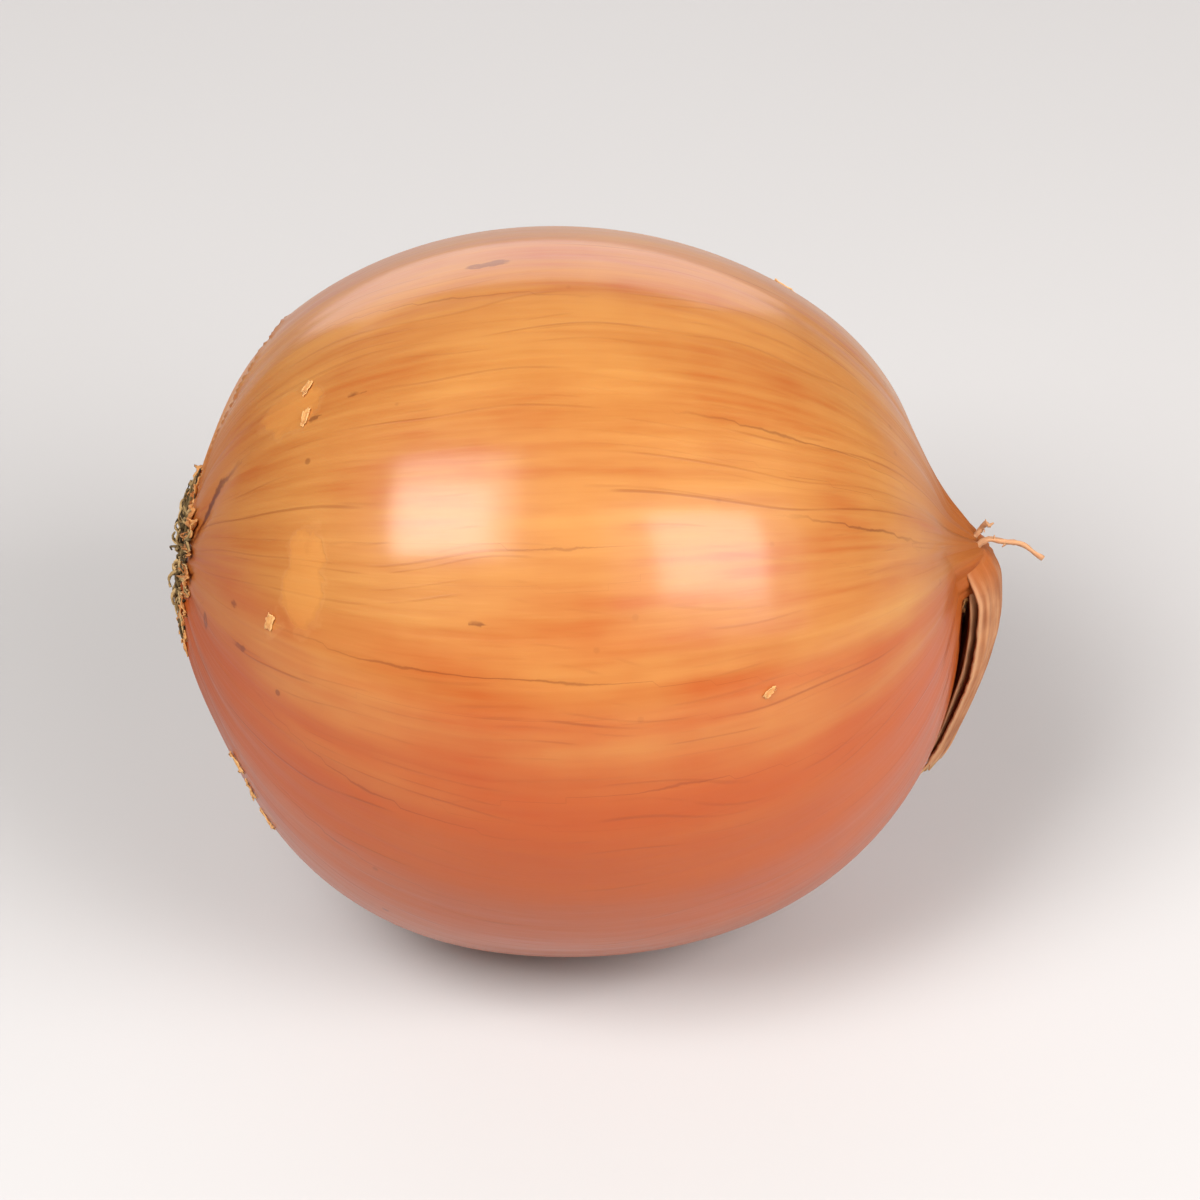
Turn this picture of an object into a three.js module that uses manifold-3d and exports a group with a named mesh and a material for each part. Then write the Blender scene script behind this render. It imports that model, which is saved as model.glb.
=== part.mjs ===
// A brown cooking onion lying on its side, in millimetres, +Z up.
// +X runs from the root end to the neck. The origin is on the small flat spot that it rests on.
// Three bodies grew together: the bulb in its dry skin, the withered neck folded down over the shoulder,
// and the root plate with its trimmed roots.
// Angles: "polar" is 0 at the root plate and PI at the neck. "turn" goes round the root-to-neck axis,
// with 0 at the front (-Y), PI / 2 on top and -PI / 2 underneath.

import * as THREE from "three";
import { mergeVertices } from "three/addons/utils/BufferGeometryUtils.js";
import Module from "manifold-3d";

const wasm = await Module();
wasm.setup();

// ---- Driving dimensions ----

const BULB_LENGTH = 82.2; // the bulb's long diameter
const BULB_WIDTH = 76; // its round diameter, across the long one
const BULB_LEAN = THREE.MathUtils.degToRad(21.5); // the long diameter dips towards the neck by this
const SQUARENESS = 0.3; // the shoulders are this much fuller than an egg's, and the belly flatter
const FLAT_DEPTH = 0.6; // how far the resting spot is pressed in, which makes it about 13 mm across
const ROOT_LIFT = 0.185; // the root plate sits this share of the half width above the bulb's middle
const NECK_LIFT = 0.09; // and the neck this share

const NECK_RISE = 2; // how far the skin climbs towards the neck
const NECK_SPREAD = 0.085; // radians from the neck over which it climbs
const NECK_RADIUS = 4.1; // of the dry neck where it leaves the bulb
const NECK_SUNK = 1.8; // how deep the neck is set in the bulb
const ROOT_DIMPLE = 0.4; // the skin sinks this far round the root plate
const ROOT_SPREAD = 0.15; // radians

const PLEATS = 17; // lengthwise folds of the skin, root to neck
const PLEAT_MIDDLE = 0.1; // their height at the belly
const PLEAT_NECK = 0.8; // at the neck
const PLEAT_ROOT = 0.45; // and at the root plate
const SKIN_STEP = 0.35; // height of the outer skin's torn edge over the skin below

// Broad swellings and hollows of the shoulders: [polar, turn, width, height], in degrees and mm.
const SWELLINGS = [
  [29, -55, 12, -0.9],
  [61, -55, 19, 0.8],
  [40, 125, 16, 0.4],
  [18, 125, 12, -0.3],
  [142, 125, 14, 0.4],
  [162, 125, 7, -0.5],
];

const PLATE_RADIUS = 6.2;
const PLATE_SUNK = 2.9; // the plate's underside is this far below the egg
const PLATE_TOP = -0.7; // and its middle this far
const PIECE_GAP = 0.3; // between bodies that meet
const ROOT_COUNT = 64;
const ROOT_RADIUS = [0.32, 0.46];
const ROOT_LENGTH = [1.7, 3.3];
const ROOT_SUNK = 0.9; // how far each root is sunk in the plate

const NECK_FOLD = THREE.MathUtils.degToRad(-80); // the turn that the neck is folded down to
const WISP_RADIUS = 0.36;

const TURN_STEPS = 88;
const POLAR_STEPS = 42;
const SEED = 7;

const halfWidth = BULB_WIDTH / 2;

// ---- Small helpers ----

// A seeded random number source, so that each build is the same onion.
function randomSource(seed) {
  let state = seed;
  return (low = 0, high = 1) => {
    state = (state + 0x6d2b79f5) | 0;
    let mixed = Math.imul(state ^ (state >>> 15), 1 | state);
    mixed = (mixed + Math.imul(mixed ^ (mixed >>> 7), 61 | mixed)) ^ mixed;
    return low + ((high - low) * ((mixed ^ (mixed >>> 14)) >>> 0)) / 4294967296;
  };
}

const bump = (x, width) => Math.exp(-((x / width) ** 2));

const deg = THREE.MathUtils.degToRad;

// The difference between two angles, from -PI to PI.
const angleBetween = (a, b) => Math.atan2(Math.sin(a - b), Math.cos(a - b));

// The angle between two places on a ball.
function angleTo(polarA, turnA, polarB, turnB) {
  const cosine =
    Math.cos(polarA) * Math.cos(polarB) +
    Math.sin(polarA) * Math.sin(polarB) * Math.cos(turnA - turnB);
  return Math.acos(THREE.MathUtils.clamp(cosine, -1, 1));
}

function toSolid(geometry) {
  const bare = geometry.clone();
  bare.deleteAttribute("normal");
  bare.deleteAttribute("uv");
  const merged = mergeVertices(bare, 1e-4);
  return new wasm.Manifold(
    new wasm.Mesh({
      numProp: 3,
      vertProperties: new Float32Array(merged.attributes.position.array),
      triVerts: new Uint32Array(merged.index.array),
    }),
  );
}

// Fuses solids into one, filling any hollow sealed between them.
function fuse(solids) {
  const whole = solids.reduce((sum, solid) => sum.add(solid));
  return whole
    .decompose()
    .filter((shell) => shell.volume() > 0)
    .reduce((sum, shell) => sum.add(shell));
}

function toGeometry(solid) {
  const mesh = solid.getMesh();
  const geometry = new THREE.BufferGeometry();
  geometry.setAttribute("position", new THREE.BufferAttribute(mesh.vertProperties, 3));
  geometry.setIndex(new THREE.BufferAttribute(mesh.triVerts, 1));
  geometry.computeVertexNormals();
  return geometry;
}

// Moves every vertex of a geometry by a rule from its old place to its new one.
function reshape(geometry, rule) {
  const position = geometry.attributes.position;
  const vertex = new THREE.Vector3();
  for (let i = 0; i < position.count; i++) {
    vertex.fromBufferAttribute(position, i);
    vertex.copy(rule(vertex));
    position.setXYZ(i, vertex.x, vertex.y, vertex.z);
  }
  return geometry;
}

// ---- The bulb's surface ----

// Stretches a unit sphere to the leaning egg of the bulb.
const lean = new THREE.Matrix4().makeRotationY(BULB_LEAN);
const eggShape = lean
  .clone()
  .multiply(new THREE.Matrix4().makeScale(BULB_LENGTH / 2, halfWidth, halfWidth))
  .multiply(lean.clone().transpose());
const eggNormals = eggShape.clone().invert().transpose();
// The egg's lowest point lies under the origin.
const lowest = new THREE.Vector3(0, 0, -1).applyMatrix4(eggShape).normalize().applyMatrix4(eggShape);
const bulbMiddle = new THREE.Vector3(-lowest.x, 0, -lowest.z - FLAT_DEPTH - SQUARENESS);

// The unit direction of a place on the skin. Both ends sit a little above the bulb's middle.
function skinDirection(polar, turn) {
  const along = -Math.cos(polar);
  const across = Math.sin(polar);
  const lift = (along < 0 ? ROOT_LIFT : NECK_LIFT) * along * along;
  return new THREE.Vector3(
    along,
    -across * Math.cos(turn),
    across * Math.sin(turn) + lift,
  ).normalize();
}

// Where the torn edge of the outermost skin runs: close round the root plate in front,
// and far up the bulb at the back, where a strip has come away.
function tornEdge(turn) {
  return (
    0.12 +
    0.02 * Math.sin(2 * turn + 1.1) +
    0.02 * Math.sin(7 * turn + 0.4) +
    0.74 * bump(angleBetween(turn, deg(152)), 0.42)
  );
}

// Height of the skin over the smooth egg.
function skinHeight(polar, turn) {
  const fromNeck = Math.PI - polar;
  const wander = turn + 0.1 * Math.sin(3 * turn + 1) + 0.06 * Math.sin(5 * turn + 2.3);
  const pleat = Math.abs(Math.cos((PLEATS / 2) * wander)) - 0.6;
  const fade = Math.min(1, Math.sin(polar) / 0.1); // no folds right at the two ends
  const pleatHeight =
    PLEAT_MIDDLE + PLEAT_NECK * bump(fromNeck, 0.3) + PLEAT_ROOT * bump(polar, 0.34);
  const bare = THREE.MathUtils.smoothstep(tornEdge(turn) - polar, -0.03, 0.03);
  let height = -SQUARENESS * Math.cos(4 * polar);
  for (const [atPolar, atTurn, width, swell] of SWELLINGS) {
    height += swell * bump(angleTo(polar, turn, deg(atPolar), deg(atTurn)), deg(width));
  }
  return (
    height +
    fade * pleat * pleatHeight +
    NECK_RISE * Math.exp(-((fromNeck / NECK_SPREAD) ** 1.4)) -
    ROOT_DIMPLE * bump(polar, ROOT_SPREAD) -
    SKIN_STEP * bare
  );
}

function skinPoint(direction, height) {
  const normal = direction.clone().applyMatrix4(eggNormals).normalize();
  return direction.clone().applyMatrix4(eggShape).addScaledVector(normal, height).add(bulbMiddle);
}

// A frame at one end of the bulb: its place, its outward direction and two directions along the skin.
function endFrame(polar, downTurn) {
  const direction = skinDirection(polar, 0);
  const out = direction.clone().applyMatrix4(eggNormals).normalize();
  const down = new THREE.Vector3(0, -Math.cos(downTurn), Math.sin(downTurn));
  down.addScaledVector(out, -down.dot(out)).normalize();
  return {
    direction,
    place: skinPoint(direction, 0),
    out,
    down,
    side: new THREE.Vector3().crossVectors(out, down),
  };
}

const rootEnd = endFrame(0, -Math.PI / 2);

// ---- Bulb ----

function bulbGeometry() {
  // SphereGeometry has its poles on Y. Rings are drawn closer together near both ends.
  const sphere = new THREE.SphereGeometry(1, TURN_STEPS, POLAR_STEPS);
  reshape(sphere, (v) => {
    const even = Math.acos(THREE.MathUtils.clamp(-v.y, -1, 1));
    const polar = even - 0.17 * Math.sin(2 * even);
    const turn = Math.atan2(v.z, v.x);
    return skinPoint(skinDirection(polar, turn), skinHeight(polar, turn));
  });
  const floor = new THREE.BoxGeometry(200, 200, 20).translate(0, 0, -10);
  const rootSocket = socket(PLATE_RADIUS, PLATE_SUNK, rootEnd);
  const neckSocket = socket(NECK_RADIUS, NECK_SUNK, endFrame(Math.PI, NECK_FOLD));
  return toGeometry(
    toSolid(sphere).subtract(toSolid(floor)).subtract(rootSocket).subtract(neckSocket),
  );
}

// Stands a geometry that was made along +Y on one end of the bulb.
function placeOnEnd(geometry, end) {
  const stand = new THREE.Matrix4().makeBasis(end.down, end.out, end.side.clone().negate());
  stand.setPosition(end.place);
  return geometry.applyMatrix4(stand);
}

// A round hollow in one end of the bulb, a gap wider and deeper than what sits in it.
function socket(radius, depth, end) {
  const hollow = new THREE.CylinderGeometry(radius + PIECE_GAP, radius + PIECE_GAP, 20, 36);
  hollow.translate(0, 10 - depth - PIECE_GAP, 0);
  return toSolid(placeOnEnd(hollow, end));
}

// ---- Root plate ----

// One root: it rises from the plate and bends outwards, thinner to its tip.
function rootGeometry(foot, heading, length, radius, splay) {
  const outwards = new THREE.Vector3(Math.cos(heading), 0, Math.sin(heading));
  const up = new THREE.Vector3(0, 1, 0);
  const side = new THREE.Vector3().crossVectors(outwards, up);
  const stations = [
    [0, -ROOT_SUNK],
    [0, 0],
    [0.25 * splay * length, 0.36 * length],
    [0.85 * splay * length, 0.46 * length],
  ];
  const points = stations.map(([out, rise]) =>
    foot.clone().addScaledVector(outwards, out).addScaledVector(up, rise),
  );
  const curve = new THREE.CatmullRomCurve3(points);
  return reshape(new THREE.CylinderGeometry(0.6 * radius, radius, 1, 5, 3), (v) => {
    const tangent = curve.getTangent(v.y + 0.5);
    const across = new THREE.Vector3().crossVectors(tangent, side);
    return curve
      .getPoint(v.y + 0.5)
      .addScaledVector(side, v.z)
      .addScaledVector(across, v.x);
  });
}

function rootsGeometry() {
  const random = randomSource(SEED);
  // A scabby low dome: its rim is lower than its middle.
  const profile = [
    new THREE.Vector2(0, -PLATE_SUNK),
    new THREE.Vector2(PLATE_RADIUS, -PLATE_SUNK),
    new THREE.Vector2(PLATE_RADIUS, PLATE_TOP - 0.9),
    new THREE.Vector2(PLATE_RADIUS * 0.72, PLATE_TOP - 0.3),
    new THREE.Vector2(PLATE_RADIUS * 0.36, PLATE_TOP),
    new THREE.Vector2(0, PLATE_TOP - 0.2),
  ];
  const plate = new THREE.LatheGeometry(profile, 28);
  reshape(plate, (v) => {
    const rough = v.y > -PLATE_SUNK + 0.1 ? 0.2 * Math.sin(v.x * 2.9) * Math.cos(v.z * 3.3) : 0;
    return v.clone().setY(v.y + rough);
  });
  const solids = [toSolid(plate)];
  for (let i = 0; i < ROOT_COUNT; i++) {
    // Sunflower spacing fills the plate evenly, and the outer roots splay furthest.
    const share = Math.sqrt((i + 0.5) / ROOT_COUNT);
    const around = i * Math.PI * (3 - Math.sqrt(5)) + random(-0.3, 0.3);
    const reach = (PLATE_RADIUS - 0.6) * share;
    const foot = new THREE.Vector3(
      reach * Math.cos(around),
      PLATE_TOP - 0.7 * share * share,
      reach * Math.sin(around),
    );
    const heading = around + random(-0.9, 0.9) * (1.5 - share);
    const root = rootGeometry(
      foot,
      heading,
      random(...ROOT_LENGTH),
      random(...ROOT_RADIUS),
      0.3 + 0.8 * share,
    );
    solids.push(toSolid(root));
  }
  return placeOnEnd(toGeometry(fuse(solids)), rootEnd);
}

// ---- Dry neck ----

// A place near the neck: "along" and "across" are millimetres over the bulb from the neck's middle,
// and "height" is how far it stands off the smooth egg.
function neckPoint(end, along, across, height) {
  const arc = Math.hypot(along, across) / halfWidth;
  const tangent = end.down
    .clone()
    .multiplyScalar(along)
    .addScaledVector(end.side, across);
  if (tangent.lengthSq() > 0) tangent.normalize();
  const direction = end.direction
    .clone()
    .multiplyScalar(Math.cos(arc))
    .addScaledVector(tangent, Math.sin(arc))
    .normalize();
  return skinPoint(direction, height);
}

// Splits the squares of a box's underside along the same diagonals as its top's, so that a thin
// waved sheet keeps its thickness.
function matchDiagonals(box) {
  const corners = box.index.array;
  const { start, count } = box.groups[3];
  for (let i = start; i < start + count; i += 6) {
    const [a, b, d] = corners.slice(i, i + 3);
    const c = corners[i + 4];
    corners.set([a, b, c, a, c, d], i);
  }
  return box;
}

// A layer of the neck: a box bent to lie between an outer and an inner curve, each a list of
// [along, height]. "Edge" is the share of its thickness left at the sides, and "ragged" the share
// of its length that tears take from its end. "Phase" sets where its folds and tears fall.
function layer({ turn, outer, inner, halfWidths, edge, ragged, pleat, columns, rows, phase }) {
  const end = endFrame(Math.PI, turn);
  const toCurve = (list) => new THREE.SplineCurve(list.map((p) => new THREE.Vector2(...p)));
  const outerCurve = toCurve(outer);
  const innerCurve = toCurve(inner);
  const widthCurve = toCurve(halfWidths.map((width, i) => [i, width]));
  const sheet = matchDiagonals(new THREE.BoxGeometry(2, 2, 1, columns, 1, rows));
  return reshape(sheet, (v) => {
    const slant = 0.4 + 0.3 * Math.sin(2 * v.x + phase);
    const split = 0.5 * (1 - Math.abs(Math.sin(3.4 * v.x + phase + 1.8))) ** 2;
    const share = (v.z + 0.5) * (1 - ragged * (slant + split));
    const top = outerCurve.getPoint(share);
    const bottom = innerCurve.getPoint(share);
    const thick = Math.sqrt(1 - (1 - edge * edge) * v.x * v.x);
    const at = bottom.lerp(top, 0.5 + 0.5 * thick * v.y);
    const fold = pleat * Math.sin(9 * v.x + phase) * Math.min(1, 3 * share);
    return neckPoint(end, at.x, v.x * widthCurve.getPoint(share).y, at.y + fold);
  });
}

// A thin dry strip standing off the neck, square in section.
function wisp(points) {
  const end = endFrame(Math.PI, NECK_FOLD);
  const curve = new THREE.CatmullRomCurve3(points.map((p) => neckPoint(end, ...p)));
  const section = new THREE.Shape();
  for (let i = 0; i < 4; i++) {
    const angle = (i * Math.PI) / 2;
    const corner = [WISP_RADIUS * Math.cos(angle), WISP_RADIUS * 1.6 * Math.sin(angle)];
    section[i ? "lineTo" : "moveTo"](...corner);
  }
  return new THREE.ExtrudeGeometry(section, { steps: 8, extrudePath: curve });
}

function neckGeometry() {
  const pieces = [
    // The gathered bundle of leaf bases, which folds over and ends halfway down.
    layer({
      turn: NECK_FOLD,
      outer: [[-4, -1.8], [-3.8, 0.2], [-2.4, 1.7], [0.3, 2.8], [3.4, 3.7], [7, 3.6], [11, 2.7], [14.5, 1.8]],
      inner: [[3.7, -1.8], [3.7, 0.2], [3.75, 1], [4.4, 1.2], [7, 1.15], [10, 0.95], [13.5, 0.8]],
      halfWidths: [4, 4, 4.3, 4.7, 5.3, 6],
      edge: 0.34,
      ragged: 0.16,
      pleat: 0.18,
      columns: 14,
      rows: 14,
      phase: 3,
    }),
    // The outermost ply goes on down the shoulder.
    layer({
      turn: NECK_FOLD,
      outer: [[-1.6, 2.2], [0.7, 3.4], [3.6, 4.2], [7, 4.1], [9.8, 3.5], [13, 2.6], [18, 1.7], [25.5, 1.2]],
      inner: [[-1.2, 1.5], [1.1, 2.6], [3.9, 3.4], [7, 3.3], [9.6, 2.7], [12.8, 1.8], [18, 1], [25.5, 0.5]],
      halfWidths: [2.6, 3.9, 5, 6.2, 7.2, 7.8, 7.4],
      edge: 1,
      ragged: 0.3,
      pleat: 0.22,
      columns: 14,
      rows: 16,
      phase: 0.43,
    }),
    // A shorter ply shows beside it, at the back.
    layer({
      turn: NECK_FOLD - deg(30),
      outer: [[-0.5, 2], [1.4, 3], [4, 3.4], [8, 2.9], [13, 2], [19, 1.4]],
      inner: [[0, 1.3], [1.7, 2.2], [4, 2.6], [8, 2.1], [13, 1.2], [19, 0.6]],
      halfWidths: [2.4, 3.6, 4.6, 5.4, 5.6, 5],
      edge: 1,
      ragged: 0.4,
      pleat: 0.18,
      columns: 9,
      rows: 11,
      phase: 8,
    }),
    wisp([[-0.6, -1.4, 1.6], [-1.3, -1.6, 3.2], [-0.9, -1.8, 5], [-0.5, -2, 6.6], [1, -2.2, 8.6]]),
    wisp([[-1, 0.6, 1.4], [-2.3, 0.4, 2.4], [-2.9, 0, 3.4]]),
  ];
  return toGeometry(fuse(pieces.map(toSolid)));
}

// ---- The onion ----

function body(name, geometry, colour, roughness) {
  const material = new THREE.MeshStandardMaterial({ color: colour, roughness, metalness: 0 });
  const mesh = new THREE.Mesh(geometry, material);
  mesh.name = name;
  return mesh;
}

const onion = new THREE.Group();
onion.add(
  body("bulb", bulbGeometry(), 0xe08b45, 0.35),
  body("neck", neckGeometry(), 0xc9986a, 0.75),
  body("roots", rootsGeometry(), 0x8a7550, 0.9),
);

export default onion;
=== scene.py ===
"""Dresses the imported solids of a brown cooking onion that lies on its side.

Lengths in the classes are millimetres in the frame of the solids: +X runs from the root plate to
the neck and +Z is up. "Polar" is the angle from the root plate, 0, to the neck, pi. "Turn" goes
round the root-to-neck axis: 0 at the front (-Y), pi / 2 on top and -pi / 2 underneath.
"""
import logging
import math
import random
from collections.abc import Callable, Sequence
from dataclasses import dataclass, field
from enum import Enum
from functools import cached_property

import bmesh
import bpy
from mathutils import Matrix, Vector, noise


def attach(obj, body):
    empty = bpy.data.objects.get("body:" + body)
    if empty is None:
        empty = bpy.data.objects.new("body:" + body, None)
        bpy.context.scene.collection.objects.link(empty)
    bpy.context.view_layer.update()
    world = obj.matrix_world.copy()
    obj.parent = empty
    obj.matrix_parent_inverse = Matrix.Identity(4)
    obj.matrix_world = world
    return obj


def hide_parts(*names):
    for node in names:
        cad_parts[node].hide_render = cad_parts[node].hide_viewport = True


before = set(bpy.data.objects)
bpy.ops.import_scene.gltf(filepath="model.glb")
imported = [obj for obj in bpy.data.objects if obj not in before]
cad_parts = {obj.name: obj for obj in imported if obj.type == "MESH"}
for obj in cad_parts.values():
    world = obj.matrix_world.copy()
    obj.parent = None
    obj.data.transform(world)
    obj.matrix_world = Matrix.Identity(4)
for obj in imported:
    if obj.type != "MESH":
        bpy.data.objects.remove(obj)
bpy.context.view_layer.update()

LOG = logging.getLogger("onion")
MM = 0.001
FAR = 9.0  # millimetres to a mark that is too far off to be drawn
GOLDEN_ANGLE = math.pi * (3 - math.sqrt(5))
SMOOTH = {"interpolation_type": "SMOOTHSTEP"}  # lets a Map Range node rise smoothly

Colour = tuple[float, float, float, float]
Pair = tuple[float, float]
Marks = dict[str, tuple[float, float, float]]
Rule = Callable[[Vector], tuple[Vector, Marks]]


class Slot(Enum):
    """The record's material slots."""

    SKIN = "skin"
    NECK = "neck"
    ROOTS = "roots"


# ---- Small helpers ----


def linear(colour: str) -> Colour:
    """Turns an sRGB hex colour to linear.

    Args:
        colour: six hex digits after a hash.

    Returns:
        Linear red, green, blue and an alpha of 1.
    """
    channels = [int(colour[i : i + 2], 16) / 255 for i in (1, 3, 5)]
    red, green, blue = (
        c / 12.92 if c <= 0.04045 else ((c + 0.055) / 1.055) ** 2.4 for c in channels
    )
    return (red, green, blue, 1.0)


def bump(x: float, width: float) -> float:
    """Returns a bell curve of height 1 at x = 0."""
    return math.exp(-((x / width) ** 2))


def ripple(*place: float) -> float:
    """Returns soft noise, from about -1 to 1, at a place of three numbers."""
    return noise.noise(Vector(place))


def clamp(x: float, low: float, high: float) -> float:
    """Returns x, or the limit that it is past."""
    return max(low, min(high, x))


def ease(x: float, low: float, high: float) -> float:
    """Rises smoothly from 0 at low to 1 at high.

    Args:
        x: where to read the curve.
        low: where it leaves 0.
        high: where it reaches 1.

    Returns:
        The curve's height at x.
    """
    t = clamp((x - low) / (high - low), 0.0, 1.0)
    return t * t * (3 - 2 * t)


def turn_between(a: float, b: float) -> float:
    """Returns the difference between two angles, from -pi to pi."""
    return math.atan2(math.sin(a - b), math.cos(a - b))


def along_curve(points: Sequence[Sequence[float]], share: float) -> Vector:
    """Reads a Catmull-Rom curve through some points.

    Args:
        points: the points it passes, each with the same number of coordinates.
        share: 0 at the first point and 1 at the last.

    Returns:
        The place on the curve.
    """
    last = len(points) - 1
    place = clamp(share, 0.0, 1.0) * last
    i = min(int(place), last - 1)
    t = place - i
    a, b, c, d = (Vector(points[clamp(j, 0, last)]) for j in (i - 1, i, i + 1, i + 2))
    return (
        b
        + (c - a) * (0.5 * t)
        + (a * 2 - b * 5 + c * 4 - d) * (0.5 * t * t)
        + (b * 3 - a - c * 3 + d) * (0.5 * t * t * t)
    )


class Graph:
    """A material's node tree, built one node at a time."""

    def __init__(self, name: str) -> None:
        """Starts an empty material.

        Args:
            name: the material's name.
        """
        self.material = bpy.data.materials.new(name)
        self.material.use_nodes = True
        self.tree = self.material.node_tree
        self.tree.nodes.clear()

    def add(self, kind: str, inputs: dict | Sequence = (), output: int | str = 0,
            **settings: object) -> bpy.types.NodeSocket | None:
        """Adds a node with its settings and links.

        Args:
            kind: Blender's name of the shader node, without "ShaderNode".
            inputs: an input's name or number to its value, or to the output that feeds it. A
                plain sequence fills the inputs in their order.
            output: which output to give back.
            settings: the node's properties; stops are a ramp's places and hex colours.

        Returns:
            The chosen output, or None for a node with none.
        """
        node = self.tree.nodes.new("ShaderNode" + kind)
        stops = settings.pop("stops", ())
        for name, value in settings.items():
            setattr(node, name, value)
        for i, (place, colour) in enumerate(stops):
            ramp = node.color_ramp.elements
            stop = ramp[i] if i < len(ramp) else ramp.new(place)
            stop.position, stop.color = place, linear(colour)
        for key, value in inputs.items() if isinstance(inputs, dict) else enumerate(inputs):
            if isinstance(value, bpy.types.NodeSocket):
                self.tree.links.new(value, node.inputs[key])
            else:
                node.inputs[key].default_value = value
        return node.outputs[output] if len(node.outputs) else None

    def tint(self, under: bpy.types.NodeSocket, colour: str, by: bpy.types.NodeSocket,
             most: float) -> bpy.types.NodeSocket:
        """Lays a colour over another.

        Args:
            under: the colour below.
            colour: the hex colour on top.
            by: where it lies, from 0 to 1.
            most: its strength where that is 1.

        Returns:
            The mixed colour.
        """
        share = self.add("Math", (by, most), operation="MULTIPLY", use_clamp=True)
        return self.add("Mix", {0: share, 6: under, 7: linear(colour)}, 2, data_type="RGBA")


# ---- The bulb's form, shared by everything that grows from it ----


@dataclass(frozen=True)
class Spot:
    """A place on the egg, with its outward direction and two directions over the skin."""

    direction: Vector
    out: Vector
    down: Vector
    side: Vector


@dataclass(frozen=True)
class Fold:
    """A crease, scar or strong vein: its path as (polar, turn) in degrees, depth, ink and width."""

    path: tuple[Pair, ...]
    depth: float
    ink: float
    width: float = 0.6


@dataclass(frozen=True)
class Patch:
    """A spot or a flaked place on the skin: centre in degrees, half sizes in millimetres."""

    polar: float
    turn: float
    length: float
    width: float


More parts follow.
